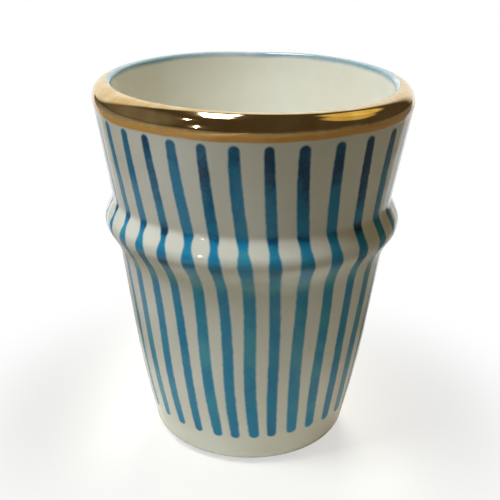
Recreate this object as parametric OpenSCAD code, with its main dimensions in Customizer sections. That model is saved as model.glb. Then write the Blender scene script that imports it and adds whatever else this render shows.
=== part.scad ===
// Coffee cup without a handle: a flared clay wall with one raised bead, white glaze inside and out,
// upright blue brush strokes, a blue line on the inner lip and a gilded rim.
// It stands on Z = 0 with its axis on Z, and -Y is its front. All sizes are in millimetres.

/* [Cup] */
// Height from the table to the top of the glazed lip
cup_h = 90; // [78:1:115]
// Outside diameter at the widest point of the rim
rim_d = 75.6; // [66:0.2:92]
// Outside diameter in the crease above the bead
neck_d = 67.2; // [58:0.2:76]
// Outside diameter in the crease below the bead
waist_d = 64.6; // [54:0.2:72]
// Outside diameter low on the wall, where its slope changes
belly_d = 55.6; // [46:0.2:64]
// Height of that change of slope
belly_z = 20; // [14:0.5:30]
// Radius that eases the change of slope
belly_round = 250; // [50:10:400]
// Wall thickness below the lip, measured level
wall_t = 4.3; // [2.5:0.1:6]

/* [Bead] */
// Height of the bead's crown
bead_z = 57.5; // [46:0.5:66]
// How far the crown stands out from the creases
bead_out = 2.7; // [1.5:0.1:4.5]
// Height of the crown above the lower crease
bead_under = 6.6; // [5.2:0.1:9]
// Height of the upper crease above the crown
bead_over = 5.3; // [5:0.1:9]
// Radius of the crown
bead_round = 4.2; // [2.5:0.1:4.9]
// Radius of the hollow in the lower crease
waist_round = 13; // [3:0.5:20]
// Radius of the hollow in the upper crease
neck_round = 2.5; // [2:0.5:12]

/* [Lip] */
// Radius over the outside of the lip
lip_round = 3.3; // [2:0.1:4.5]
// Width of the level top between the two roundings of the lip
lip_flat = 0.3; // [0.1:0.1:1.5]
// Radius of the lip's inner edge
mouth_round = 0.8; // [0.4:0.1:1.5]

/* [Foot] */
// Diameter of the face that the cup stands on
foot_d = 38.4; // [30:0.2:46]
// Radius of the heel, from the foot to the wall
heel_round = 5.2; // [3:0.1:8]
// Width of the standing ring
ring_w = 4; // [2:0.1:8]
// Depth of the hollow inside the standing ring
recess_h = 1.5; // [0.5:0.1:3]
// Slope across the standing ring's inner edge
recess_slope = 0.8; // [0.2:0.1:2]
// Height above the table at which the glaze is wiped off the heel
wipe_h = 0.4; // [0.1:0.1:1.5]

/* [Inside] */
// Thickness of the floor over the hollow
floor_t = 6; // [3:0.1:9]
// Radius between the floor and the inner wall
well_round = 7.5; // [3:0.1:9]
// Radius that eases the bends of the inner wall
inside_round = 60; // [20:5:150]

/* [Coats] */
// Thickness of the glaze
glaze_t = 0.4; // [0.2:0.05:0.8]
// Thickness of the blue paint
paint_t = 0.15; // [0.1:0.01:0.3]
// Thickness of the gilding
gold_t = 0.12; // [0.1:0.01:0.3]
// How far the gilding runs down the wall below the lip's rounding
gold_drop = 1.5; // [1:0.1:6]
// How far the blue lip line runs down the inside below the lip's inner rounding
line_drop = 0.4; // [0.3:0.1:4]
// How far the blue lip line reaches outwards over the top of the lip
line_over = 0.6; // [0.1:0.1:2]

/* [Strokes] */
// Number of brush strokes round the cup
stroke_n = 33; // [24:1:40]
// Width of a stroke
stroke_w = 2.7; // [1.5:0.1:3.4]
// Bare glaze between the gilding and the strokes
stroke_gap = 0.7; // [0.5:0.1:6]
// Mean height of the strokes' lower ends
stroke_foot_z = 8.7; // [7:0.1:20]
// Azimuth of the first stroke, from the front towards +X
stroke_start = 3.7; // [-10:0.1:10]
// Mean lean of a stroke, in degrees round the cup from its top to its foot
stroke_lean = 6.4; // [-9:0.1:9]
// Share of the lean that comes and goes once round the cup, in degrees
lean_tilt = 8.2; // [0:0.1:9]
// Share of the lean that comes and goes twice round the cup, in degrees
lean_swing = 5.2; // [0:0.1:6]
// Wander of the strokes' feet from an even spacing, in degrees
foot_wander = 1.5; // [0:0.1:2]
// Swing in the height of the strokes' feet
foot_swing = 0.5; // [0:0.1:1.5]
// Sideways sway of the brush along a stroke
brush_sway = 0.4; // [0:0.05:0.8]
// Length of a stroke in which the brush sways once to each side
sway_length = 56; // [40:1:120]
// Height at which the strokes sway furthest towards +X
sway_z = 49; // [40:0.5:60]
// Share by which the width varies from stroke to stroke
width_swing = 0.07; // [0:0.01:0.15]
// Share by which the strokes are wider on the +X side and narrower on the -X side
width_tilt = 0.12; // [0:0.01:0.15]

/* [Hidden] */
$fn = 144;
// Largest bend, in degrees, that one straight step of a rounding takes
arc_step = 9;
// Largest share of the shorter stretch beside it that an eased bend may use
ease_share = 0.48;
// Waves round the cup in the lean's swing, in the spacing of the feet and in their height
lean_waves = 2;
wander_waves = 4;
foot_waves = 3;
// Azimuths at which the lean's swing and the height of the feet start their waves
lean_phase = -27;
foot_phase = -18;
// Golden angle, which gives neighbouring strokes unlike widths
shuffle_a = 137.5;
// Straight steps along a stroke's side and round its end
side_steps = 12;
end_steps = 6;
// Spacings of the strokes that the stretch of wall behind one stroke takes in
sector_pitches = 4;
// Direction of the front, in degrees from +X
front_a = -90;
full_turn = 360;
half_turn = 180;

clay_colour = "#cdb796";
glaze_colour = "#e4dfd0";
paint_colour = "#2f7296";
line_colour = "#8fb9cb";
gold_colour = "#c79a3f";

// Unit vector along v
function unit(v) = v / norm(v);

// Direction d turned anticlockwise by a degrees
function turned(d, a) = [d[0] * cos(a) - d[1] * sin(a), d[0] * sin(a) + d[1] * cos(a)];

// Direction to the right of d, which points out of the clay all along the outline
function right_of(d) = [d[1], -d[0]];

// Where the line from p along a crosses the line from q along b
function meet(p, a, q, b) = p + a * cross(q - p, b) / cross(a, b);

// Direction from p of the line that touches a circle, on its right (side 1) or its left (side -1)
function touching(p, middle, radius, side) =
    turned(unit(middle - p), -side * asin(radius / norm(middle - p)));

// Degrees by which the way from p over q to s turns, anticlockwise
function bend_at(p, q, s) = atan2(cross(q - p, s - q), (q - p) * (s - q));

// Wanted radius at q, or the largest that the shorter stretch beside it takes
function eased(p, q, s, wanted) =
    min(wanted, ease_share * min(norm(q - p), norm(s - q)) / tan(abs(bend_at(p, q, s)) / 2));

function reversed(points) = [for (i = [len(points) - 1:-1:0]) points[i]];

// The outline's sharp corners, as [radius, height]: the heel, the bead, the rim and the mouth lie where
// the walls that touch their circles would cross.
level = [1, 0];
belly = [belly_d / 2, belly_z];
waist = [waist_d / 2, bead_z - bead_under];
neck = [neck_d / 2, bead_z + bead_over];
heel_middle = [foot_d / 2, heel_round];
heel = meet(belly, touching(belly, heel_middle, heel_round, -1), [0, 0], level);
bead_middle = [(waist[0] + neck[0]) / 2 + bead_out - bead_round, bead_z];
bead = meet(
    waist, touching(waist, bead_middle, bead_round, 1),
    neck, touching(neck, bead_middle, bead_round, -1)
);
crest = [rim_d / 2 - lip_round, cup_h];
rim_middle = crest - [0, lip_round];
rim = meet(neck, touching(neck, rim_middle, lip_round, 1), crest, level);
neck_in = neck - wall_t * level;
waist_in = waist - wall_t * level;
belly_in = belly - wall_t * level;
mouth_middle = crest - [lip_flat, mouth_round];
mouth = meet(neck_in, touching(neck_in, mouth_middle, mouth_round, -1), crest, level);
floor_middle = [0, recess_h + floor_t];
well = meet(belly_in, belly - heel, floor_middle, level);

// The way round the outline, from the middle of the foot up the outside and down into the well
route = [
    [0, 0], heel, belly, waist, bead, neck, rim,
    mouth, neck_in, waist_in, belly_in, well, floor_middle
];
HEEL = 1;
BELLY = 2;
NECK = 5;
RIM = 6;
MOUTH = 7;
WELL = 11;
rounds = [
    0,
    heel_round,
    eased(heel, belly, waist, belly_round),
    eased(belly, waist, bead, waist_round),
    bead_round,
    eased(bead, neck, rim, neck_round),
    lip_round,
    mouth_round,
    eased(mouth, neck_in, waist_in, inside_round),
    eased(neck_in, waist_in, belly_in, inside_round),
    eased(waist_in, belly_in, well, inside_round),
    eased(belly_in, well, floor_middle, well_round),
    0
];

// Points round corner i of the route, on the surface that lies out from the glaze by depth.
// The bend may start or end part of the way round.
function rounded(i, depth, from = 0, to = 1) =
    let (
        along = unit(route[i] - route[i - 1]),
        bend = bend_at(route[i - 1], route[i], route[i + 1]),
        side = sign(bend),
        middle = route[i] - rounds[i] * (tan(abs(bend) / 2) * along + side * right_of(along)),
        steps = max(1, ceil(abs(bend) * (to - from) / arc_step))
    )
    [for (k = [0:steps])
        let (heading = turned(along, bend * (from + (to - from) * k / steps)))
        middle + (side * rounds[i] + depth) * right_of(heading)];

// Points round the corners from first to last
function rounded_run(first, last, depth) = [for (i = [first:last]) each rounded(i, depth)];

// Share of the heel's bend that is wiped bare
wiped = acos(1 - wipe_h / heel_round) / bend_at([0, 0], heel, belly);

// Edges of the gilding on the outer wall and of the lip line on the inner wall, and the walls' directions
outer_wall = unit(rim - neck);
inner_wall = unit(neck_in - mouth);
gold_edge = meet(neck, outer_wall, [0, rim_middle[1] - gold_drop], level);
line_edge = meet(mouth, inner_wall, [0, mouth_middle[1] - line_drop], level);

// Share of the lip's outer bend that is gilded, up to the blue line
gilded = 1 - line_over / lip_round * half_turn / PI / bend_at(neck, rim, mouth);

// Surfaces at a depth out from the glaze
function heel_to_neck(depth) = concat(rounded(HEEL, depth, wiped, 1), rounded_run(BELLY, NECK, depth));
function outside(depth) = concat(heel_to_neck(depth), rounded(RIM, depth));
function inside(depth) = concat(rounded_run(MOUTH, WELL, depth), [floor_middle + [0, depth]]);
function painted_wall(depth) = concat(heel_to_neck(depth), [gold_edge + depth * right_of(outer_wall)]);
function gilded_lip(depth) = concat(
    [gold_edge + depth * right_of(outer_wall)],
    rounded(RIM, depth, 0, gilded)
);
function lined_lip(depth) = concat(
    rounded(RIM, depth, gilded, 1),
    rounded(MOUTH, depth),
    [line_edge + depth * right_of(inner_wall)]
);

// A coat of revolution between an outer and an inner surface
module coat(outer, inner) {
    rotate_extrude() polygon(concat(outer, reversed(inner)));
}

module clay_body() {
    ring_r = foot_d / 2 - ring_w;
    hollow = [[0, recess_h], [ring_r - recess_slope, recess_h], [ring_r, 0]];
    color(clay_colour)
        rotate_extrude()
            polygon(concat(hollow, rounded(HEEL, 0, 0, wiped), outside(-glaze_t), inside(-glaze_t)));
}

module outer_glaze() {
    color(glaze_colour) coat(outside(0), outside(-glaze_t));
}

module inner_glaze() {
    color(glaze_colour) coat(concat([crest], inside(0)), concat([crest - [0, glaze_t]], inside(-glaze_t)));
}

module lip_line() {
    color(line_colour) coat(lined_lip(paint_t), lined_lip(0));
}

module gold_rim() {
    color(gold_colour) coat(gilded_lip(gold_t), gilded_lip(0));
}

// Azimuths of a stroke, from the front towards +X: its even place, its lean, its top and its foot
stroke_pitch = full_turn / stroke_n;
function place_a(i) = stroke_start + stroke_pitch * (i - 1);
function lean(i) =
    stroke_lean - lean_tilt * sin(place_a(i)) + lean_swing * cos(lean_waves * (place_a(i) + lean_phase));
function top_a(i) = place_a(i) - lean(i);
function foot_a(i) = place_a(i) - foot_wander * sin(wander_waves * place_a(i));

// Heights of a stroke's ends, and the wall's radius there
stroke_top_z = gold_edge[1] - stroke_gap;
function stroke_low_z(i) = stroke_foot_z + foot_swing * sin(foot_waves * (place_a(i) + foot_phase));
top_r = meet(neck, outer_wall, [0, stroke_top_z], level)[0];
foot_r = meet(heel, belly - heel, [0, stroke_foot_z], level)[0];

// Outline of a stroke seen square on, as [sideways, height]: a leaning, swaying band with round ends
function stroke_outline(i) =
    let (
        half_w = stroke_w / 2 * (1 + width_swing * sin(i * shuffle_a) + width_tilt * sin(place_a(i))),
        half_lean = (foot_a(i) - top_a(i)) / 2,
        low = [foot_r * sin(half_lean), stroke_low_z(i) + half_w],
        high = [-top_r * sin(half_lean), stroke_top_z - half_w],
        centres = [for (k = [0:side_steps])
            let (p = low + k / side_steps * (high - low))
            p + [brush_sway * cos(full_turn * (p[1] - sway_z) / sway_length), 0]],
        right = [for (k = [1:side_steps - 1]) centres[k] + [half_w, 0]],
        left = [for (k = [1:side_steps - 1]) centres[k] - [half_w, 0]],
        round_end = [for (k = [0:end_steps]) half_w * turned(level, half_turn * k / end_steps)]
    )
    concat(
        right,
        [for (p = round_end) centres[side_steps] + p],
        reversed(left),
        [for (p = round_end) centres[0] - p]
    );

// One brush stroke: its outline, pushed outwards through the painted wall
module stroke(i) {
    sector = sector_pitches * stroke_pitch;
    color(paint_colour)
        rotate([0, 0, front_a + (foot_a(i) + top_a(i)) / 2])
            intersection() {
                rotate_extrude(angle = sector, start = -sector / 2)
                    polygon(concat(painted_wall(paint_t), reversed(painted_wall(0))));
                rotate([90, 0, 90]) linear_extrude(rim_d) polygon(stroke_outline(i));
            }
}

function stroke_name(i) = str("stroke_", i < 10 ? "0" : "", i);

clay_body();
outer_glaze();
inner_glaze();
lip_line();
gold_rim();
for (i = [1:stroke_n])
    stroke(i);
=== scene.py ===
"""Looks of the hand-painted coffee cup: its clay, glazes, brush strokes, lip line and gilding as smooth
surfaces with fired-on finishes, a pale floor, soft studio light and the photograph's camera.

Sizes are millimetres in the code and become metres when a mesh is made. Azimuth is measured from the
cup's front (-Y) towards +X.
"""

import bpy
import numpy as np
from mathutils import Matrix, Vector


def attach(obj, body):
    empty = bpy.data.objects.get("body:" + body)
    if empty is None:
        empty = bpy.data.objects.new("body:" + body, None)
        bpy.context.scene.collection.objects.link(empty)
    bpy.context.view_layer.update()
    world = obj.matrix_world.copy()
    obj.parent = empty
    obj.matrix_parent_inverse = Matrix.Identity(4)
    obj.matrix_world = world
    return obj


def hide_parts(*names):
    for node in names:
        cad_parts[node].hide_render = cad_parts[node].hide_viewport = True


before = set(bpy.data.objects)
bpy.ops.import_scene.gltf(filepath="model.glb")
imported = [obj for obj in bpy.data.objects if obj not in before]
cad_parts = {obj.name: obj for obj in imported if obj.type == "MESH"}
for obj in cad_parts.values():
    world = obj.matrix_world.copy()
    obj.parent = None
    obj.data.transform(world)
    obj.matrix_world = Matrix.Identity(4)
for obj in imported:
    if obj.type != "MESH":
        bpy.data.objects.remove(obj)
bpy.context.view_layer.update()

MM = 0.001
TURN = 2 * np.pi
TURN_DEG = 360

# Sizes of the cup, as its solids have them
CUP_H = 90.0
RIM_D = 75.6
NECK_D = 67.2
WAIST_D = 64.6
BELLY_D = 55.6
BELLY_Z = 20.0
BELLY_ROUND = 250.0
WALL_T = 4.3
BEAD_Z = 57.5
BEAD_OUT = 2.7
BEAD_UNDER = 6.6
BEAD_OVER = 5.3
BEAD_ROUND = 4.2
WAIST_ROUND = 13.0
NECK_ROUND = 2.5
LIP_ROUND = 3.3
LIP_FLAT = 0.3
MOUTH_ROUND = 0.8
FOOT_D = 38.4
HEEL_ROUND = 5.2
RING_W = 4.0
RECESS_H = 1.5
RECESS_SLOPE = 0.8
WIPE_H = 0.4
FLOOR_T = 6.0
WELL_ROUND = 7.5
INSIDE_ROUND = 60.0
GLAZE_T = 0.4
GOLD_DROP = 1.5
LINE_DROP = 0.4
LINE_OVER = 0.6

# The brush strokes, as their solids have them
STROKE_N = 33
STROKE_W = 2.7
STROKE_GAP = 0.7
STROKE_FOOT_Z = 8.7
STROKE_START = 3.7
STROKE_LEAN = 6.4
LEAN_TILT = 8.2
LEAN_SWING, LEAN_WAVES, LEAN_PHASE = 5.2, 2, -27.0
FOOT_WANDER, WANDER_WAVES = 1.5, 4
FOOT_SWING, FOOT_WAVES, FOOT_PHASE = 0.5, 3, -18.0
BRUSH_SWAY, SWAY_LENGTH, SWAY_Z = 0.4, 56.0, 49.0
WIDTH_SWING, WIDTH_TILT = 0.07, 0.12
SHUFFLE_A = 137.5

# Grid steps round the wall and round the lip, degrees between the points of the outline's arcs, and lengths
# of the steps along the outline where it shows, where it is clay and where it is hidden
ROUND_STEPS = 256
LIP_STEPS = 2 * ROUND_STEPS
ARC_STEP = 0.5
OUTLINE_STEP = 0.45
CLAY_STEP = 1.0
HIDDEN_STEP = 3.0


def unit(v):
    """A vector scaled to length 1."""
    return v / np.linalg.norm(v)


def cross(a, b):
    """Size of the cross product of two plane vectors."""
    return a[0] * b[1] - a[1] * b[0]


def turned(d, angle):
    """A plane direction turned anticlockwise."""
    return np.array([d[0] * np.cos(angle) - d[1] * np.sin(angle),
                     d[0] * np.sin(angle) + d[1] * np.cos(angle)])


def meet(p, a, q, b):
    """Where the line from p along a crosses the line from q along b."""
    return p + a * cross(q - p, b) / cross(a, b)


def touching(p, middle, radius, side):
    """Direction from p of the line that touches a circle, on its right (side 1) or its left (side -1)."""
    gap = middle - p
    return turned(unit(gap), -side * np.arcsin(radius / np.linalg.norm(gap)))


def cup_corners():
    """Sharp corners of the outline as (radius, height), from the middle of the foot up the outside, over
    the lip and down to the middle of the floor, each with its rounding. The heel, bead, rim and mouth lie
    where the walls that touch their circles would cross."""
    level = np.array([1.0, 0.0])
    start = np.zeros(2)
    belly = np.array([BELLY_D / 2, BELLY_Z])
    waist = np.array([WAIST_D / 2, BEAD_Z - BEAD_UNDER])
    neck = np.array([NECK_D / 2, BEAD_Z + BEAD_OVER])
    heel_middle = np.array([FOOT_D / 2, HEEL_ROUND])
    heel = meet(belly, touching(belly, heel_middle, HEEL_ROUND, -1), start, level)
    bead_middle = np.array([(waist[0] + neck[0]) / 2 + BEAD_OUT - BEAD_ROUND, BEAD_Z])
    bead = meet(waist, touching(waist, bead_middle, BEAD_ROUND, 1),
                neck, touching(neck, bead_middle, BEAD_ROUND, -1))
    crest = np.array([RIM_D / 2 - LIP_ROUND, CUP_H])
    rim = meet(neck, touching(neck, crest - [0, LIP_ROUND], LIP_ROUND, 1), crest, level)
    neck_in, waist_in, belly_in = (p - WALL_T * level for p in (neck, waist, belly))
    mouth_middle = crest - [LIP_FLAT, MOUTH_ROUND]
    mouth = meet(neck_in, touching(neck_in, mouth_middle, MOUTH_ROUND, -1), crest, level)
    floor_middle = np.array([0.0, RECESS_H + FLOOR_T])
    well = meet(belly_in, belly - heel, floor_middle, level)
    corners = [start, heel, belly, waist, bead, neck, rim, mouth,
               neck_in, waist_in, belly_in, well, floor_middle]
    rounds = [0, HEEL_ROUND, BELLY_ROUND, WAIST_ROUND, BEAD_ROUND, NECK_ROUND, LIP_ROUND, MOUTH_ROUND,
              INSIDE_ROUND, INSIDE_ROUND, INSIDE_ROUND, WELL_ROUND, 0]
    return corners, rounds


def cup_outline():
    """The rounded outline as arrays: length walked, radius, height and heading. Each corner is an arc that
    touches both its straight stretches, in small steps, so the heading runs evenly round each arc."""
    corners, rounds = cup_corners()
    points, headings = [corners[0][None]], [np.zeros(1)]
    for before, corner, after, radius in zip(corners[:-2], corners[1:-1], corners[2:], rounds[1:-1]):
        along, onward = unit(corner - before), unit(after - corner)
        bend = np.arctan2(cross(along, onward), along @ onward)
        steps = int(abs(np.degrees(bend)) / ARC_STEP) + 2
        heading = np.arctan2(along[1], along[0]) % TURN + bend * np.linspace(0, 1, steps)
        right = np.stack([np.sin(heading), -np.cos(heading)], 1)
        side = np.sign(bend)
        middle = corner - radius * (np.tan(abs(bend) / 2) * along + side * np.array([along[1], -along[0]]))
        points.append(middle + side * radius * right)
        headings.append(heading)
    points.append(corners[-1][None])
    headings.append(headings[-1][-1:])
    points, heading = np.concatenate(points), np.concatenate(headings)
    walked = np.concatenate([[0], np.cumsum(np.linalg.norm(np.diff(points, axis=0), axis=1))])
    return walked, points[:, 0], points[:, 1], heading


WALKED, RADIUS, HEIGHT, HEADING = cup_outline()
CREST = np.interp(-(RIM_D / 2 - LIP_ROUND), -RADIUS[RADIUS.argmax():], WALKED[RADIUS.argmax():])
OUT = WALKED <= CREST
END = WALKED[-1]


def outer_s(z):
    """Length walked along the outline at a height on the outside."""
    return np.interp(z, HEIGHT[OUT], WALKED[OUT])


def inner_s(z):
    """Length walked along the outline at a height on the inside."""
    return np.interp(-z, -HEIGHT[~OUT], WALKED[~OUT])


def on_outline(s, depth=0.0):
    """Radius and height of the outline at length s, moved outwards by depth."""
    heading = np.interp(s, WALKED, HEADING)
    radius = np.interp(s, WALKED, RADIUS) + depth * np.sin(heading)
    return radius, np.interp(s, WALKED, HEIGHT) - depth * np.cos(heading)


# Unevenness of a hand-thrown cup: shares by which the rim is oval and three-lobed, throwing rings, how much
# the lip stands up at the front and dips behind, and the height over which that dies away down the wall
OVAL, OVAL_A = 0.0016, np.radians(-20)
LOBED, LOBED_A = 0.001, np.radians(8)
RING_DEPTH, RING_PITCH, RING_FREE = 0.012, 7.0, 15.0
LIP_RISE, LIP_RISE_A, LIP_RISE_POWER = 1.05, np.radians(-15), 3
LIP_DIP, LIP_DIP_A, LIP_DIP_W = 0.35, np.radians(178), np.radians(14)
LIP_REACH = 5.0


def hand_thrown(azimuth, radius, z):
    """Places points given by azimuth, radius and height in space, on a body that is slightly oval and
    three-lobed towards the rim, has shallow throwing rings that climb once round the cup, and a lip that
    stands a little higher at the front and dips behind."""
    rise = np.clip(z / CUP_H, 0, 1)
    oval = OVAL * rise * np.cos(2 * (azimuth - OVAL_A))
    lobed = LOBED * rise ** 2 * np.cos(3 * (azimuth - LOBED_A))
    rings = RING_DEPTH * np.clip(z / RING_FREE, 0, 1) * np.sin(TURN * z / RING_PITCH + azimuth)
    radius = radius * (1 + (oval + lobed)) + rings * np.clip(radius / RING_FREE, 0, 1)
    front = ((1 + np.cos(azimuth - LIP_RISE_A)) / 2) ** LIP_RISE_POWER
    behind = np.exp(-2 * (1 - np.cos(azimuth - LIP_DIP_A)) / LIP_DIP_W ** 2)
    z = z + np.exp((z - CUP_H) / LIP_REACH) * (LIP_RISE * front - LIP_DIP * behind)
    return np.stack([radius * np.sin(azimuth), -radius * np.cos(azimuth), z], -1)


def spread(first, last, step):
    """Evenly spaced lengths from first to last, about a step apart."""
    return np.linspace(first, last, max(2, int(abs(last - first) / step) + 1))


def skin(name, grid, wrap_rows, **values):
    """A mesh from a grid of points in millimetres. The grid's columns run round and always close. Its rows
    close too (wrap_rows), or end in poles, where a row's points coincide and are merged. Values become
    attributes of the points."""
    rows, columns = grid.shape[:2]
    index = np.arange(rows * columns).reshape(rows, columns)
    below = np.roll(index, -1, 0) if wrap_rows else index[1:]
    here = index if wrap_rows else index[:-1]
    quads = np.stack([here, np.roll(here, -1, 1), np.roll(below, -1, 1), below], -1).reshape(-1, 4)
    if not wrap_rows:
        last_row = (rows - 1) * columns
        quads = np.where(quads < columns, 0, quads)
        quads = np.where(quads >= last_row, last_row, quads)
    used, quads = np.unique(quads, return_inverse=True)
    quads = quads.reshape(-1, 4)
    doubled = quads == np.roll(quads, -1, 1)
    corners = (~doubled).sum(1)
    starts = np.concatenate([[0], np.cumsum(corners)[:-1]])
    mesh = bpy.data.meshes.new(name)
    mesh.vertices.add(len(used))
    mesh.vertices.foreach_set("co", (grid.reshape(-1, 3)[used] * MM).astype(np.float32).ravel())
    mesh.loops.add(int(corners.sum()))
    mesh.loops.foreach_set("vertex_index", quads[~doubled].astype(np.int32))
    mesh.polygons.add(len(quads))
    mesh.polygons.foreach_set("loop_start", starts.astype(np.int32))
    mesh.polygons.foreach_set("use_smooth", np.ones(len(quads), bool))
    for attribute, value in values.items():
        layer = mesh.attributes.new(attribute, "FLOAT", "POINT")
        kept = np.broadcast_to(value, grid.shape[:2]).ravel()[used]
        layer.data.foreach_set("value", kept.astype(np.float32))
    mesh.update(calc_edges=True)
    mesh.validate()
    return mesh


def piece(name, mesh, material, slot, *nodes):
    """Puts a mesh in the scene as a piece that stands for the named solids."""
    made = bpy.data.objects.new(name, mesh)
    bpy.context.scene.collection.objects.link(made)
    mesh.materials.append(material)
    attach(made, "root")
    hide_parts(*nodes)


# The sRGB curve: straight up to its knee, and a lifted power above it
SRGB_KNEE, SRGB_SLOPE, SRGB_LIFT, SRGB_POWER = 0.04045, 12.92, 0.055, 2.4


def linear(hex_colour):
    """An sRGB hex colour as linear red, green, blue and alpha."""
    srgb = np.array([int(hex_colour[i:i + 2], 16) for i in (1, 3, 5)]) / 255
    curve = ((srgb + SRGB_LIFT) / (1 + SRGB_LIFT)) ** SRGB_POWER
    return (*np.where(srgb <= SRGB_KNEE, srgb / SRGB_SLOPE, curve), 1.0)


# Settings and input numbers that many nodes share
EASED = {"interpolation_type": "SMOOTHSTEP"}
COLOURS = {"data_type": "RGBA"}
SHARE, FIRST, SECOND = 0, 6, 7
ONE, TWO, THREE = 0, 1, 2


def add(tree, kind, inputs, **settings):
    """Adds a node with its settings. An input, by name or number, is set to a value, or linked to a socket
    or to the first output in use of another node."""
    made = tree.nodes.new(kind)
    for setting, value in settings.items():
        setattr(made, setting, value)
    for name, value in inputs.items():
        if isinstance(value, bpy.types.Node):
            value = next(output for output in value.outputs if output.enabled)
        if isinstance(value, bpy.types.NodeSocket):
            tree.links.new(value, made.inputs[name])
        else:
            made.inputs[name].default_value = value
    return made


def per_metre(size_mm):
    """Texture scale at which one cell of a pattern is this many millimetres."""
    return 1 / (size_mm * MM)


def new_material(name):
    """A material with an empty tree, and the cup's own coordinates in it."""
    material = bpy.data.materials.new(name)
    material.use_nodes = True
    tree = material.node_tree
    tree.nodes.clear()
    return material, tree, add(tree, "ShaderNodeTexCoord", {}).outputs["Object"]


# White tin glaze: opaque cream-white glass fired on clay. It is bright and glossy, a little warmer where it
# lies thin, faintly mottled, with scattered dark iron specks, and its reflections ripple slowly.
GLAZE_WHITE = "#E3E3D9"
GLAZE_THIN = "#D8D4C1"
SPECK_BROWN = "#6E6450"
GLAZE_GLOSS = {"Roughness": 0.06, "IOR": 1.46}
CLOUD = {"Scale": per_metre(26.0), "Detail": 3.0}
CLOUD_SHARE = {"From Min": 0.35, "From Max": 0.72, "To Min": 0.0, "To Max": 0.5}
MOTTLE = {"Scale": per_metre(2.4), "Detail": 2.0}
MOTTLE_SHARE = {"From Min": 0.3, "From Max": 0.7, "To Min": 0.0, "To Max": 0.12}
SPECK_CELLS = {"Scale": per_metre(5.0)}
SPECK_EDGE = {"From Min": 0.026, "From Max": 0.05, "To Min": 1.0, "To Max": 0.0}
SPECK_CHOICE = {"From Min": 0.6, "From Max": 0.95, "To Min": 0.0, "To Max": 0.6}
RIPPLE = {"Scale": per_metre(5.5), "Detail": 1.0}
RIPPLE_DEPTH = {"Distance": 0.02 * MM, "Strength": 1.0}


def glaze_colour(tree, place):
    """Cream white, clouded and mottled towards the warmer thin glaze, with sparse specks."""
    white, thin, brown = linear(GLAZE_WHITE), linear(GLAZE_THIN), linear(SPECK_BROWN)
    cloud = add(tree, "ShaderNodeTexNoise", {"Vector": place, **CLOUD})
    clouded = add(tree, "ShaderNodeMapRange", {"Value": cloud, **CLOUD_SHARE}, **EASED)
    colour = add(tree, "ShaderNodeMix", {SHARE: clouded, FIRST: white, SECOND: thin}, **COLOURS)
    mottle = add(tree, "ShaderNodeTexNoise", {"Vector": place, **MOTTLE})
    mottled = add(tree, "ShaderNodeMapRange", {"Value": mottle, **MOTTLE_SHARE}, **EASED)
    colour = add(tree, "ShaderNodeMix", {SHARE: mottled, FIRST: colour, SECOND: thin}, **COLOURS)
    cells = add(tree, "ShaderNodeTexVoronoi", {"Vector": place, **SPECK_CELLS})
    near = add(tree, "ShaderNodeMapRange", {"Value": cells.outputs["Distance"], **SPECK_EDGE}, **EASED)
    draw = add(tree, "ShaderNodeSeparateColor", {"Color": cells.outputs["Color"]})
    chosen = add(tree, "ShaderNodeMapRange", {"Value": draw.outputs["Red"], **SPECK_CHOICE}, **EASED)
    speck = add(tree, "ShaderNodeMath", {ONE: near, TWO: chosen}, operation="MULTIPLY")
    return add(tree, "ShaderNodeMix", {SHARE: speck, FIRST: colour, SECOND: brown}, **COLOURS)


def glaze_ripple(tree, place):
    """Normal of the glaze's slow ripple."""
    ripple = add(tree, "ShaderNodeTexNoise", {"Vector": place, **RIPPLE})
    return add(tree, "ShaderNodeBump", {"Height": ripple, **RIPPLE_DEPTH})


def glassy(tree, place, colour):
    """Finishes a tree as a glass-bright surface over a colour."""
    ripple = glaze_ripple(tree, place)
    shader = add(tree, "ShaderNodeBsdfPrincipled", {"Base Color": colour, "Normal": ripple, **GLAZE_GLOSS})
    add(tree, "ShaderNodeOutputMaterial", {"Surface": shader})


def white_tin_glaze():
    """The white glaze, inside and out."""
    material, tree, place = new_material("white_tin_glaze")
    glassy(tree, place, glaze_colour(tree, place))
    return material


# Blue brush paint fused into the glaze: navy where the brush left it thick, clear blue in the middle, teal
# where it ran thin and greyer where it skipped, with a soft pale edge that bleeds into the white. On the
# strokes, the navy in the bead's creases is partly painted shade, and the paler blue over and below the
# bead is painted highlight and painted reflection. The edge's reach is in millimetres inside the mark, and
# the steps between the blues are in shares of a full brush.
BRUSH_BLUE = {"thick": "#0A4064", "blue": "#1F86B2", "thin": "#409CB0", "skip": "#78A4AE",
              "bleed": "#BDCFCF", "solid": {"From Min": -0.2, "From Max": 0.32}}
BLEED_EDGE = {"From Min": -0.28, "From Max": 0.0}
WAVER_CELLS = {"Scale": per_metre(1.6), "Detail": 2.0}
WAVER = {"From Min": 0.25, "From Max": 0.75, "To Min": -0.08, "To Max": 0.08}
POOL_CELLS = {"Scale": per_metre(8.0), "Detail": 2.0}
POOL = {"From Min": 0.3, "From Max": 0.7, "To Min": -0.13, "To Max": 0.13}
STREAK_CELLS = {"Scale": per_metre(0.5), "Detail": 2.0}
STREAK = {"From Min": 0.3, "From Max": 0.7, "To Min": -0.06, "To Max": 0.06}
SKIP_TO_THIN = {"From Min": -0.3, "From Max": 0.1}
THIN_TO_BLUE = {"From Min": 0.0, "From Max": 0.5}
BLUE_TO_THICK = {"From Min": 0.5, "From Max": 1.0}


def hand_drawn_edge(tree, place):
    """Distance inside a painted mark's edge (mm), with the small waver of a hand."""
    edge = add(tree, "ShaderNodeAttribute", {}, attribute_name="edge_mm").outputs["Fac"]
    waver = add(tree, "ShaderNodeTexNoise", {"Vector": place, **WAVER_CELLS})
    waver = add(tree, "ShaderNodeMapRange", {"Value": waver, **WAVER})
    return add(tree, "ShaderNodeMath", {ONE: edge, TWO: waver}, operation="ADD")


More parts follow.
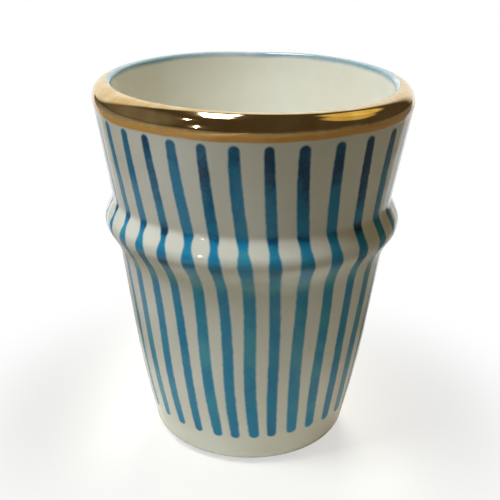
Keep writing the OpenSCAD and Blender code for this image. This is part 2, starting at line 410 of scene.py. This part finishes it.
def painted_colour(tree, place, thick, blue, thin, skip, bleed, solid):
    """Colour of a painted mark, by its distance inside the edge and by its load: how much paint the brush
    left and, on the strokes, also painted shade and painted highlight.
    """
    thick, blue, thin, skip, bleed = (linear(shade) for shade in (thick, blue, thin, skip, bleed))
    inside = hand_drawn_edge(tree, place)
    load = add(tree, "ShaderNodeAttribute", {}, attribute_name="load").outputs["Fac"]
    pool = add(tree, "ShaderNodeTexNoise", {"Vector": place, **POOL_CELLS})
    pool = add(tree, "ShaderNodeMapRange", {"Value": pool, **POOL}, **EASED)
    load = add(tree, "ShaderNodeMath", {ONE: load, TWO: pool}, operation="ADD")
    streak = add(tree, "ShaderNodeTexNoise", {"Vector": place, **STREAK_CELLS})
    streak = add(tree, "ShaderNodeMapRange", {"Value": streak, **STREAK}, **EASED)
    load = add(tree, "ShaderNodeMath", {ONE: load, TWO: streak}, operation="ADD")
    share = add(tree, "ShaderNodeMapRange", {"Value": load, **SKIP_TO_THIN}, **EASED)
    paint = add(tree, "ShaderNodeMix", {SHARE: share, FIRST: skip, SECOND: thin}, **COLOURS)
    share = add(tree, "ShaderNodeMapRange", {"Value": load, **THIN_TO_BLUE}, **EASED)
    paint = add(tree, "ShaderNodeMix", {SHARE: share, FIRST: paint, SECOND: blue}, **COLOURS)
    share = add(tree, "ShaderNodeMapRange", {"Value": load, **BLUE_TO_THICK}, **EASED)
    paint = add(tree, "ShaderNodeMix", {SHARE: share, FIRST: paint, SECOND: thick}, **COLOURS)
    glaze = glaze_colour(tree, place)
    share = add(tree, "ShaderNodeMapRange", {"Value": inside, **BLEED_EDGE}, **EASED)
    bled = add(tree, "ShaderNodeMix", {SHARE: share, FIRST: glaze, SECOND: bleed}, **COLOURS)
    share = add(tree, "ShaderNodeMapRange", {"Value": inside, **solid}, **EASED)
    return add(tree, "ShaderNodeMix", {SHARE: share, FIRST: bled, SECOND: paint}, **COLOURS)


def blue_brush_paint():
    """The brush strokes' blue."""
    material, tree, place = new_material("blue_brush_paint")
    glassy(tree, place, painted_colour(tree, place, **BRUSH_BLUE))
    return material


# Pale blue line on the lip: one thin turn of watered-down paint, bluest where the brush was full, whose
# edge fades over about a millimetre.
LIP_BLUE = {"thick": "#7497A4", "blue": "#88A2AB", "thin": "#B2BCC4", "skip": "#B2BCC4",
            "bleed": "#CDD4D4", "solid": {"From Min": -0.15, "From Max": 0.85}}


def pale_lip_paint():
    """The lip line's pale blue."""
    material, tree, place = new_material("pale_blue_lip_paint")
    glassy(tree, place, painted_colour(tree, place, **LIP_BLUE))
    return material


# Gold lustre: a film of metal fired on the glaze. It mirrors the room, and towards its lower edge the brush
# left it thin, so that it turns to a soft matte tan; that tan is also a painted reflection of the floor in
# front. The edges' reaches are in millimetres.
GOLD = "#F0DAAE"
GOLD_WARM = "#DEBE86"
GOLD_THIN_AND_REFLECTED = "#DFA857"
GOLD_BRUSH = {"Scale": per_metre(5.0), "Detail": 3.0}
GOLD_BRUSHED = {"From Min": 0.3, "From Max": 0.7}
GOLD_ROUGHNESS = {"From Min": 0.3, "From Max": 0.7, "To Min": 0.045, "To Max": 0.08}
GOLD_EDGE = {"From Min": -0.15, "From Max": 0.2}
GOLD_METAL = {"From Min": 0.9, "From Max": 2.3}
GOLD_FULL = {"From Min": 1.0, "From Max": 2.5}


def fired_gold_lustre():
    """The rim's gilding: glaze to the edge, then thin tan lustre, partly painted reflection, then full
    metal.
    """
    material, tree, place = new_material("fired_gold_lustre")
    full, warm, tan = linear(GOLD), linear(GOLD_WARM), linear(GOLD_THIN_AND_REFLECTED)
    inside = hand_drawn_edge(tree, place)
    brush = add(tree, "ShaderNodeTexNoise", {"Vector": place, **GOLD_BRUSH})
    share = add(tree, "ShaderNodeMapRange", {"Value": brush, **GOLD_BRUSHED}, **EASED)
    metal = add(tree, "ShaderNodeMix", {SHARE: share, FIRST: full, SECOND: warm}, **COLOURS)
    share = add(tree, "ShaderNodeMapRange", {"Value": inside, **GOLD_FULL}, **EASED)
    # Painted reflection: the matte tan band along the lower edge is thin lustre and stands for the mirrored
    # floor
    metal = add(tree, "ShaderNodeMix", {SHARE: share, FIRST: tan, SECOND: metal}, **COLOURS)
    glaze = glaze_colour(tree, place)
    share = add(tree, "ShaderNodeMapRange", {"Value": inside, **GOLD_EDGE}, **EASED)
    colour = add(tree, "ShaderNodeMix", {SHARE: share, FIRST: glaze, SECOND: metal}, **COLOURS)
    metallic = add(tree, "ShaderNodeMapRange", {"Value": inside, **GOLD_METAL}, **EASED)
    roughness = add(tree, "ShaderNodeMapRange", {"Value": brush, **GOLD_ROUGHNESS}, **EASED)
    shader = add(tree, "ShaderNodeBsdfPrincipled", {"Base Color": colour, "Metallic": metallic,
                                                    "Roughness": roughness,
                                                    "Normal": glaze_ripple(tree, place)})
    add(tree, "ShaderNodeOutputMaterial", {"Surface": shader})
    return material


# Bare fired clay: matte, buff and dusty, with fine grit.
CLAY_BUFF = "#CDB796"
CLAY_DARK = "#A98C66"
CLAY_ROUGHNESS = 0.85
CLAY_CLOUD = {"Scale": per_metre(8.0), "Detail": 4.0}
CLAY_CLOUDED = {"From Min": 0.3, "From Max": 0.7}
GRIT = {"Scale": per_metre(0.5), "Detail": 4.0}
GRIT_DEPTH = {"Distance": 0.05 * MM, "Strength": 1.0}
GRITTY = {"From Min": 0.45, "From Max": 0.7, "To Min": 0.0, "To Max": 0.4}


def bare_buff_clay():
    """The clay that shows under the foot."""
    material, tree, place = new_material("bare_buff_clay")
    buff, dark = linear(CLAY_BUFF), linear(CLAY_DARK)
    cloud = add(tree, "ShaderNodeTexNoise", {"Vector": place, **CLAY_CLOUD})
    share = add(tree, "ShaderNodeMapRange", {"Value": cloud, **CLAY_CLOUDED}, **EASED)
    colour = add(tree, "ShaderNodeMix", {SHARE: share, FIRST: buff, SECOND: dark}, **COLOURS)
    grit = add(tree, "ShaderNodeTexNoise", {"Vector": place, **GRIT})
    share = add(tree, "ShaderNodeMapRange", {"Value": grit, **GRITTY}, **EASED)
    colour = add(tree, "ShaderNodeMix", {SHARE: share, FIRST: colour, SECOND: dark}, **COLOURS)
    rough = add(tree, "ShaderNodeBump", {"Height": grit, **GRIT_DEPTH})
    shader = add(tree, "ShaderNodeBsdfPrincipled", {"Base Color": colour, "Normal": rough,
                                                    "Roughness": CLAY_ROUGHNESS})
    add(tree, "ShaderNodeOutputMaterial", {"Surface": shader})
    return material


AZIMUTHS = np.linspace(0, TURN, ROUND_STEPS, endpoint=False)[None]
LIP_AZIMUTHS = np.linspace(0, TURN, LIP_STEPS, endpoint=False)[None]


def ring_coat(name, first, last, material, slot, node):
    """A coat of even thickness along the outline from first to last: its outer surface, then back along
    its inner one, turned round the axis."""
    outer, inner = spread(first, last, OUTLINE_STEP), spread(last, first, HIDDEN_STEP)
    to_axis = last == END
    s = np.concatenate([outer, inner])
    depth = np.concatenate([np.zeros(len(outer)), np.full(len(inner), -GLAZE_T)])
    radius, z = on_outline(s, depth)
    if to_axis:
        radius, z = np.roll(radius, -len(outer)), np.roll(z, -len(outer))
        radius[[0, -1]] = 0.0
    grid = hand_thrown(AZIMUTHS, radius[:, None], z[:, None])
    piece(name, skin(name, grid, not to_axis), material, slot, node)


def clay_shell(material):
    """The clay: the hollow under the foot, the standing ring, the heel to its wiped line, then the outline
    under the glaze, up the outside and down to the floor, turned round the axis."""
    ring_r = FOOT_D / 2 - RING_W
    hollow_r = spread(0, ring_r - RECESS_SLOPE, CLAY_STEP)[:-1]
    slope_r = spread(ring_r - RECESS_SLOPE, ring_r, OUTLINE_STEP)
    slope_z = np.linspace(RECESS_H, 0, len(slope_r))
    bare_r, bare_z = on_outline(spread(ring_r, outer_s(WIPE_H), OUTLINE_STEP)[1:])
    under_r, under_z = on_outline(spread(outer_s(WIPE_H), END, CLAY_STEP), -GLAZE_T)
    radius = np.concatenate([hollow_r, slope_r, bare_r, under_r])
    z = np.concatenate([np.full(len(hollow_r), RECESS_H), slope_z, bare_z, under_z])
    radius[[0, -1]] = 0.0
    grid = hand_thrown(AZIMUTHS, radius[:, None], z[:, None])
    piece("clay_body_form", skin("clay_body_form", grid, False), material, "bare_clay", "clay_body")


# Films of paint and gold: their depth over the glaze at the margin and how much deeper they are inside, how
# far inside they reach it, how deep their rims are tucked into the glaze, and the margin that bleeds
FILM_BASE = 0.007
FILM_RISE = 0.03
FILM_FULL = 0.9
FILM_TUCK = -0.05
BLEED_MARGIN = 0.45


def eased_step(value, low, high):
    """Runs from 0 at low to 1 at high, level at both ends."""
    t = np.clip((value - low) / (high - low), 0, 1)
    return t * t * (3 - 2 * t)


def wave(degrees):
    """Sine of an angle in degrees."""
    return np.sin(np.radians(degrees))


# A stroke's grid, how its ends narrow, its own small waver, and how much paint the brush leaves: in the
# middle, from stroke to stroke, where it is set down at the top (most on the side about TOP_LOAD_A, where
# the darker top is also painted shade under the lip) and at the foot. The load is raised in the creases of
# the bead, partly as pooled paint and partly as painted shade, and it is lowered over and below the bead as
# painted highlight and painted reflection: each such band has its height, reach and load. Over the bead the
# brush pinches and spreads: each pinch has its height, reach, share of the width, and how much stronger it
# is on the left
STROKE_ROWS, STROKE_ACROSS = 290, 19
TIP_SHARE, TIP_MM = 0.86, 4.5
OWN_SWAY, OWN_SWAYS = 0.12, 1.7
LOAD_MEAN, LOAD_SWING, LOAD_SHUFFLE = 0.44, 0.09, 1.7
TOP_LOAD_AND_SHADE, TOP_LOAD_MM, TOP_LOAD_A = (0.08, 0.5), 14.0, 50.0
FOOT_LOAD, FOOT_LOAD_MM = 0.18, 4.0
POOLS_SHADE_AND_SHEEN = (62.5, 1.3, 0.36), (59.8, 1.3, -0.12), (55.5, 1.2, 0.3), (51.4, 2.0, -0.46), (36.0, 16.0, -0.14)
PINCHES = (60.6, 1.5, -0.26, 1.0), (56.6, 1.9, 0.2, 0.3)


def brush_stroke(number, material):
    """One stroke: a leaning, swaying band whose round ends are narrower than its middle. Rows run along it
    and columns across its top and back along its hidden underside. The film swells from the bled margin
    to the middle, and its rim is tucked in. Distance inside the edge and the load, which is paint and also
    painted shade and painted highlight, are kept for the colour."""
    place = STROKE_START + TURN_DEG / STROKE_N * (number - 1)
    lean = STROKE_LEAN - LEAN_TILT * wave(place)
    lean += LEAN_SWING * np.cos(np.radians(LEAN_WAVES * (place + LEAN_PHASE)))
    foot_a = place - FOOT_WANDER * wave(WANDER_WAVES * place)
    shuffle = number * SHUFFLE_A
    low_z = STROKE_FOOT_Z + FOOT_SWING * wave(FOOT_WAVES * (place + FOOT_PHASE))
    high_z = CUP_H - LIP_ROUND - GOLD_DROP - STROKE_GAP
    low_s, high_s = outer_s(low_z), outer_s(high_z)
    full_w = STROKE_W / 2 * (1 + WIDTH_SWING * wave(shuffle) + WIDTH_TILT * wave(place))
    tip = full_w * TIP_SHARE
    ease = (1 - np.cos(np.linspace(0, np.pi, STROKE_ROWS))) / 2
    s = low_s - BLEED_MARGIN + (high_s - low_s + 2 * BLEED_MARGIN) * ease
    middle_s = np.clip(s, low_s + tip, high_s - tip)
    from_end = np.minimum(middle_s - low_s - tip, high_s - tip - middle_s)
    half_w = full_w + (tip - full_w) * np.exp(-from_end / TIP_MM)
    wall_r, wall_z = on_outline(middle_s)
    pinch = sum(share * (1 - tilt * wave(place)) * np.exp(-((wall_z - at) / reach) ** 2)
                for at, reach, share, tilt in PINCHES)
    half_w = half_w * (1 + pinch)
    past = s - middle_s
    reach = np.sqrt(np.clip((half_w + BLEED_MARGIN) ** 2 - past ** 2, 0, None))
    sideways = reach[:, None] * np.sin(np.linspace(-np.pi / 2, np.pi / 2, STROKE_ACROSS))
    edge = half_w[:, None] - np.hypot(sideways, past[:, None])
    film = FILM_BASE + FILM_RISE * eased_step(edge, -BLEED_MARGIN / 2, FILM_FULL)
    film[:, [0, -1]] = FILM_TUCK
    film[[0, -1]] = FILM_TUCK
    back = slice(-2, 0, -1)
    sideways = np.concatenate([sideways, sideways[:, back]], 1)
    edge = np.concatenate([edge, edge[:, back]], 1)
    film = np.concatenate([film, np.full_like(film[:, back], FILM_TUCK)], 1)
    rise = (wall_z - low_z) / (high_z - low_z)
    sway = BRUSH_SWAY * np.cos(TURN * (wall_z - SWAY_Z) / SWAY_LENGTH)
    sway += OWN_SWAY * wave(TURN_DEG * OWN_SWAYS * rise + shuffle)
    lean_here = np.radians(foot_a + (place - lean - foot_a) * rise)
    azimuth = lean_here[:, None] + (sway[:, None] + sideways) / wall_r[:, None]
    radius, z = on_outline(np.broadcast_to(s[:, None], film.shape), film)
    top_share = ((1 + wave(place + TOP_LOAD_A)) / 2) ** 2
    load = LOAD_MEAN + LOAD_SWING * wave(shuffle * LOAD_SHUFFLE)
    # Painted shade: the heavier load at the top, most on the cup's right front, darkens the strokes under
    # the lip
    load = load + (TOP_LOAD_AND_SHADE[0] + TOP_LOAD_AND_SHADE[1] * top_share) * np.exp(-((s - high_s) / TOP_LOAD_MM) ** 2)
    load = load + FOOT_LOAD * np.exp(-((s - low_s) / FOOT_LOAD_MM) ** 2)
    # Painted shade and light: the load is raised in the bead's creases and lowered over and below the bead
    load = load + sum(deep * np.exp(-((wall_z - at) / reach) ** 2) for at, reach, deep in POOLS_SHADE_AND_SHEEN)
    name = f"brush_stroke_{number:02d}"
    mesh = skin(name, hand_thrown(azimuth, radius, z), False, edge_mm=edge, load=load[:, None])
    piece(name, mesh, material, "blue_paint", f"stroke_{number:02d}")


# How much paint the lip line has, and how that swings round the cup: waves in a turn and where each starts
LINE_LOAD, LINE_LOAD_SWING, LINE_LOAD_WAVES = 0.5, 0.22, ((3, 1.0), (7, 0.0))


def lip_band(name, free, covered, lift, steps, material, slot, node):
    """A painted band round the lip, between its free edge, where it bleeds, and the edge that it shares
    with its neighbour, both as outline lengths by azimuth. Rows run across its top and back along its
    hidden underside. Distance inside the free edge and paint load are kept for the colour."""
    way = np.sign((covered - free).mean())
    margin = free - way * BLEED_MARGIN
    s = margin + (covered - margin) * np.linspace(0, 1, steps)[:, None]
    edge = (s - free) * way
    film = FILM_BASE + lift + FILM_RISE * eased_step(edge, -BLEED_MARGIN / 2, FILM_FULL)
    film[[0, -1]] = FILM_TUCK
    back = slice(-2, 0, -1)
    s, edge = np.concatenate([s, s[back]]), np.concatenate([edge, edge[back]])
    film = np.concatenate([film, np.full_like(film[back], FILM_TUCK)])
    order = slice(None, None, int(way))
    s, edge, film = s[order], edge[order], film[order]
    radius, z = on_outline(s, film)
    azimuth = np.broadcast_to(LIP_AZIMUTHS, s.shape)
    load = LINE_LOAD + LINE_LOAD_SWING * sum(np.sin(n * azimuth + start) for n, start in LINE_LOAD_WAVES)
    mesh = skin(name, hand_thrown(azimuth, radius, z), True, edge_mm=edge, load=load)
    piece(name, mesh, material, slot, node)


def wavering(waves, depth):
    """How a hand-drawn edge strays round the cup: a sum of waves that each close on themselves."""
    return depth * sum(np.sin(n * LIP_AZIMUTHS + n * n) for n in waves) / np.sqrt(len(waves))


# How far the edges of the lip's two bands stray, how the gilding's lower edge skews round the cup, and how
# far the gilding reaches inwards over the line at the front (by the cosine of the azimuth)
LINE_STRAY, LINE_WAVES = 0.12, (3, 5, 8, 13)
GOLD_STRAY, GOLD_WAVES = 0.1, (4, 7, 11, 19)
GOLD_SKEW, GOLD_SKEW_WAVES = 0.33, 2
SEAM_STRAY, SEAM_WAVES, SEAM_LAP = 0.06, (5, 9), 0.15
SEAM_IN, SEAM_FRONT = 1.25, (-0.35, 0.35)
LINE_ROWS, LINE_LIFT = 26, 0.0
GOLD_ROWS, GOLD_LIFT = 40, 0.006


def lip_bands():
    """The pale line over the lip's inner edge, and the gilding that laps its outer edge."""
    seam = CREST - LINE_OVER + wavering(SEAM_WAVES, SEAM_STRAY)
    seam = seam + SEAM_IN * eased_step(np.cos(LIP_AZIMUTHS), *SEAM_FRONT)
    line_low = inner_s(CUP_H - MOUTH_ROUND - LINE_DROP) + wavering(LINE_WAVES, LINE_STRAY)
    lip_band("lip_line_brushed", line_low, seam, LINE_LIFT, LINE_ROWS, pale_lip_paint(),
             "pale_blue_paint", "lip_line")
    gold_low = outer_s(CUP_H - LIP_ROUND - GOLD_DROP) + wavering(GOLD_WAVES, GOLD_STRAY)
    gold_low = gold_low + GOLD_SKEW * np.sin(GOLD_SKEW_WAVES * LIP_AZIMUTHS)
    lip_band("gold_rim_brushed", gold_low, seam + SEAM_LAP, GOLD_LIFT, GOLD_ROWS, fired_gold_lustre(),
             "gold_lustre", "gold_rim")


def whole_cup():
    """Every piece of the cup, from the clay outwards."""
    clay_shell(bare_buff_clay())
    glaze = white_tin_glaze()
    ring_coat("glaze_outside", outer_s(WIPE_H), CREST, glaze, "white_glaze", "outer_glaze")
    ring_coat("glaze_inside", CREST, END, glaze, "white_glaze", "inner_glaze")
    paint = blue_brush_paint()
    for number in range(1, STROKE_N + 1):
        brush_stroke(number, paint)
    lip_bands()


def facing(stands, points, roll):
    """Turn of a camera or lamp that stands at one place, points to another and is rolled about that line."""
    way = (points - stands).to_track_quat("-Z", "Y").to_matrix()
    return (way @ Matrix.Rotation(roll, 3, "Z")).to_euler()


# The photograph's camera: 22 degrees above the cup's middle, turned slightly as the picture is. What it
# shows starts half a cup's height in front of it and ends at CAMERA_REACH, in metres
PHOTO_PX = 500
FOCAL_PX = 1066.0
SENSOR_MM = 36.0
CAMERA_EL = np.radians(22.26)
CAMERA_FROM = 266.6
CAMERA_ROLL = 0.0151
CAMERA_REACH = 50.0
AIM = Vector((-0.3, 0.7, 46.8)) * MM


def photo_camera():
    """Looks at the cup from the photograph's place, and is rolled as the photograph is."""
    data = bpy.data.cameras.new("photo_camera")
    data.sensor_width = SENSOR_MM
    data.lens = FOCAL_PX / PHOTO_PX * SENSOR_MM
    data.clip_start, data.clip_end = CUP_H / 2 * MM, CAMERA_REACH
    camera = bpy.data.objects.new("photo_camera", data)
    bpy.context.scene.collection.objects.link(camera)
    away = Vector((0, -np.cos(CAMERA_EL), np.sin(CAMERA_EL))) * CAMERA_FROM
    camera.location = (away + Vector((0, 0, CUP_H / 2))) * MM
    camera.rotation_euler = facing(camera.location, AIM, CAMERA_ROLL)
    bpy.context.scene.camera = camera


# The pale floor is a matte disc, a hair under the foot. It is palest near the cup, further out in front and
# behind than at the sides (FLOOR_SHAPE stretches the distance), and darker beyond, so that it lights the cup
# less from there. It is dimmer (FLOOR_DIM) where the gloss mirrors it. What sees it directly sees it blend
# to white with distance, so that the cup's shadow stays. The gloss mirrors that white in a wedge that opens
# behind the cup, in a strip on the left and faintly elsewhere, most round the foot. The disc's sizes are in
# millimetres, the reaches in metres
FLOOR_R, FLOOR_Z = 6000.0, -0.03
FLOOR_INNER_R, FLOOR_RINGS, FLOOR_SPOKES = 20.0, 24, 64
FLOOR_NEAR = "#F0EFE6"
FLOOR_FAR = "#625E54"
FLOOR_SHAPE = 1.85, 0.65, 1.0
FLOOR_DIM = 0.45
FLOOR_DARKER = {"From Min": 36 * MM, "From Max": 120 * MM}
FLOOR_WHITER = {"From Min": 24 * MM, "From Max": 90 * MM, "To Min": 0.6, "To Max": 1.0}
FLOOR_BEHIND = {"From Min": 20 * MM, "From Max": 140 * MM}
FLOOR_SPLAY = -0.6
FLOOR_WEDGE = {"From Min": 50 * MM, "From Max": 100 * MM, "To Min": 1.0, "To Max": 0.0}
FLOOR_BESIDE = {"From Min": 46 * MM, "From Max": 72 * MM, "To Min": 0.16, "To Max": 0.05}
FLOOR_LEFT_X = -110 * MM
FLOOR_LEFT = {"From Min": 30 * MM, "From Max": 55 * MM, "To Min": 0.55, "To Max": 0.0}


def mirrored_white(tree, place, away):
    """Share of white that the gloss mirrors at a place on the floor: the largest of the wedge's, the left
    strip's and the faint share that is left elsewhere."""
    spot = add(tree, "ShaderNodeSeparateXYZ", {"Vector": place})
    x, y = spot.outputs["X"], spot.outputs["Y"]
    behind = add(tree, "ShaderNodeMapRange", {"Value": y, **FLOOR_BEHIND}, **EASED)
    aside = add(tree, "ShaderNodeMath", {ONE: x}, operation="ABSOLUTE")
    splayed = add(tree, "ShaderNodeMath", {ONE: y, TWO: FLOOR_SPLAY, THREE: aside}, operation="MULTIPLY_ADD")
    wedge = add(tree, "ShaderNodeMapRange", {"Value": splayed, **FLOOR_WEDGE}, **EASED)
    behind = add(tree, "ShaderNodeMath", {ONE: behind, TWO: wedge}, operation="MULTIPLY")
    beside = add(tree, "ShaderNodeMapRange", {"Value": away, **FLOOR_BESIDE}, **EASED)
    white = add(tree, "ShaderNodeMath", {ONE: behind, TWO: beside}, operation="MAXIMUM")
    from_strip = add(tree, "ShaderNodeMath", {ONE: x, TWO: FLOOR_LEFT_X}, operation="SUBTRACT")
    from_strip = add(tree, "ShaderNodeMath", {ONE: from_strip}, operation="ABSOLUTE")
    left = add(tree, "ShaderNodeMapRange", {"Value": from_strip, **FLOOR_LEFT}, **EASED)
    return add(tree, "ShaderNodeMath", {ONE: white, TWO: left}, operation="MAXIMUM")


def floor_finish():
    """The floor's matte colour, and the white that is seen directly or mirrored instead of it."""
    material, tree, place = new_material("pale_floor")
    near, far = linear(FLOOR_NEAR), linear(FLOOR_FAR)
    away = add(tree, "ShaderNodeVectorMath", {ONE: place}, operation="LENGTH").outputs["Value"]
    stretched = add(tree, "ShaderNodeVectorMath", {ONE: place, TWO: FLOOR_SHAPE}, operation="MULTIPLY")
    stretched = add(tree, "ShaderNodeVectorMath", {ONE: stretched}, operation="LENGTH").outputs["Value"]
    path = add(tree, "ShaderNodeLightPath", {})
    glossy, through = path.outputs["Is Glossy Ray"], path.outputs["Is Transmission Ray"]
    mirrored = add(tree, "ShaderNodeMath", {ONE: glossy, TWO: through}, operation="MAXIMUM")
    dimmed = add(tree, "ShaderNodeMath", {ONE: mirrored, TWO: FLOOR_DIM}, operation="MULTIPLY")
    darker = add(tree, "ShaderNodeMapRange", {"Value": stretched, **FLOOR_DARKER}, **EASED)
    darker = add(tree, "ShaderNodeMath", {ONE: darker, TWO: dimmed}, operation="MAXIMUM")
    colour = add(tree, "ShaderNodeMix", {SHARE: darker, FIRST: near, SECOND: far}, **COLOURS)
    matte = add(tree, "ShaderNodeBsdfDiffuse", {"Color": colour})
    white = add(tree, "ShaderNodeEmission", {"Strength": 1.0})
    shown = mirrored_white(tree, place, away)
    shown = add(tree, "ShaderNodeMath", {ONE: mirrored, TWO: shown}, operation="MULTIPLY")
    direct = path.outputs["Is Camera Ray"]
    seen = add(tree, "ShaderNodeMath", {ONE: direct, TWO: shown}, operation="MAXIMUM")
    whiter = add(tree, "ShaderNodeMapRange", {"Value": away, **FLOOR_WHITER}, **EASED)
    share = add(tree, "ShaderNodeMath", {ONE: seen, TWO: whiter}, operation="MULTIPLY")
    both = add(tree, "ShaderNodeMixShader", {ONE: share, TWO: matte, THREE: white})
    add(tree, "ShaderNodeOutputMaterial", {"Surface": both})
    return material


def pale_floor():
    """A disc of rings round the cup's axis, on which it stands."""
    radius = np.concatenate([[0.0], np.geomspace(FLOOR_INNER_R, FLOOR_R, FLOOR_RINGS)])[:, None]
    azimuth = np.linspace(0, TURN, FLOOR_SPOKES, endpoint=False)
    x, y = radius * np.cos(azimuth), radius * np.sin(azimuth)
    grid = np.stack(np.broadcast_arrays(x, y, FLOOR_Z), -1)
    index = np.arange(grid.shape[0] * FLOOR_SPOKES).reshape(-1, FLOOR_SPOKES)
    corners = [index[:-1], index[1:], np.roll(index[1:], -1, 1), np.roll(index[:-1], -1, 1)]
    faces = np.stack(corners, -1).reshape(-1, 4)
    mesh = bpy.data.meshes.new("pale_floor")
    mesh.from_pydata((grid.reshape(-1, 3) * MM).tolist(), [], faces.tolist())
    mesh.validate()
    mesh.materials.append(floor_finish())
    made = bpy.data.objects.new("pale_floor", mesh)
    bpy.context.scene.collection.objects.link(made)


# Lamps, in metres and watts: one high on the left in front, a small bright one beside it, a narrow low one
# in front on the left for the glints on bead and gold, a panel overhead, one high behind and a weak low one
# on the right. A lamp lights matte surfaces, shows in the gloss (shines), or does both
MIDDLE = 0, 0, 0.045
SIDE_LAMP = {"stands": (-0.392, -0.246, 0.927), "points": MIDDLE, "size": (0.3, 0.3), "watts": 9.4,
             "turn": 0.0, "colour": "#F6FCFF", "lights": True, "shines": False}
SPARK_LAMP = {"stands": (-0.58, -0.41, 0.745), "points": MIDDLE, "size": (0.03, 0.03), "watts": 0.5,
              "turn": 0.0, "colour": "#FFFFFF", "lights": True, "shines": True}
GLINT_LAMP = {"stands": (-0.614, -0.784, 0.328), "points": (0, 0, 0.06), "size": (0.02, 0.16), "watts": 1.5,
              "turn": 0.0, "colour": "#FFFFFF", "lights": False, "shines": True}
PANEL_LAMP = {"stands": (-0.24, 0.17, 1.2), "points": (-0.24, 0.17, 0.0), "size": (0.24, 0.8), "watts": 13.0,
              "turn": -0.2, "colour": "#FFFFFF", "lights": False, "shines": True}
BACK_LAMP = {"stands": (0.08, 1.08, 1.1), "points": (0, 0, 0.09), "size": (0.5, 0.5), "watts": 21.0,
             "turn": 0.0, "colour": "#FFFDF8", "lights": True, "shines": False}
FILL_LAMP = {"stands": (0.8, -0.45, 0.04), "points": MIDDLE, "size": (0.4, 0.4), "watts": 0.55,
             "turn": 0.0, "colour": "#FFF6E4", "lights": True, "shines": False}


def lamp(name, stands, points, size, watts, turn, colour, lights, shines):
    """A flat lamp of a width and length, turned about the line to the place that it points to."""
    data = bpy.data.lights.new(name, "AREA")
    data.shape = "RECTANGLE"
    data.size, data.size_y = size
    data.energy = watts
    data.color = linear(colour)[:3]
    made = bpy.data.objects.new(name, data)
    bpy.context.scene.collection.objects.link(made)
    made.visible_diffuse = lights
    made.visible_glossy = shines
    made.location = stands
    made.rotation_euler = facing(Vector(stands), Vector(points), turn)


# The room is dim and warm, with soft boards that the gloss mirrors. Each board has its direction, the
# cosines of the angles from there at which it starts and is full, how far it covers what lies behind it,
# and its colour
ROOM_BROWN = "#4A4030"
BACKDROP = (0.0, 1.0, 0.12), {"From Min": 0.75, "From Max": 0.9, "To Max": 0.95}, "#FFFFFF"
BACK_LEFT = (-0.42, 0.80, 0.42), {"From Min": 0.84, "From Max": 0.93, "To Max": 0.9}, "#FFFBF0"
BACK_RIGHT = (0.55, 0.38, 0.74), {"From Min": 0.955, "From Max": 0.982, "To Max": 0.75}, "#FFDF80"
RIGHT = (0.72, 0.06, 0.69), {"From Min": 0.945, "From Max": 0.975, "To Max": 0.55}, "#FFDF80"
LEFT = (-0.95, 0.0, 0.3), {"From Min": 0.75, "From Max": 0.95, "To Max": 0.11}, "#FFF6E4"


def studio_room():
    """A dim room, with its boards laid over it one after another."""
    world = bpy.data.worlds.new("studio_room")
    world.use_nodes = True
    tree = world.node_tree
    tree.nodes.clear()
    way = add(tree, "ShaderNodeTexCoord", {}).outputs["Generated"]
    colour = linear(ROOM_BROWN)
    for direction, edge, shade in (BACKDROP, BACK_LEFT, BACK_RIGHT, RIGHT, LEFT):
        straight = Vector(direction).normalized()
        near = add(tree, "ShaderNodeVectorMath", {ONE: way, TWO: straight}, operation="DOT_PRODUCT")
        board = add(tree, "ShaderNodeMapRange", {"Value": near.outputs["Value"], **edge}, **EASED)
        colour = add(tree, "ShaderNodeMix", {SHARE: board, FIRST: colour, SECOND: linear(shade)}, **COLOURS)
    room = add(tree, "ShaderNodeBackground", {"Color": colour, "Strength": 1.0})
    add(tree, "ShaderNodeOutputWorld", {"Surface": room})
    bpy.context.scene.world = world


whole_cup()
photo_camera()
pale_floor()
lamp("side_lamp", **SIDE_LAMP)
lamp("spark_lamp", **SPARK_LAMP)
lamp("glint_lamp", **GLINT_LAMP)
lamp("panel_lamp", **PANEL_LAMP)
lamp("back_lamp", **BACK_LAMP)
lamp("fill_lamp", **FILL_LAMP)
studio_room()
bpy.context.scene.view_settings.view_transform = "Standard"
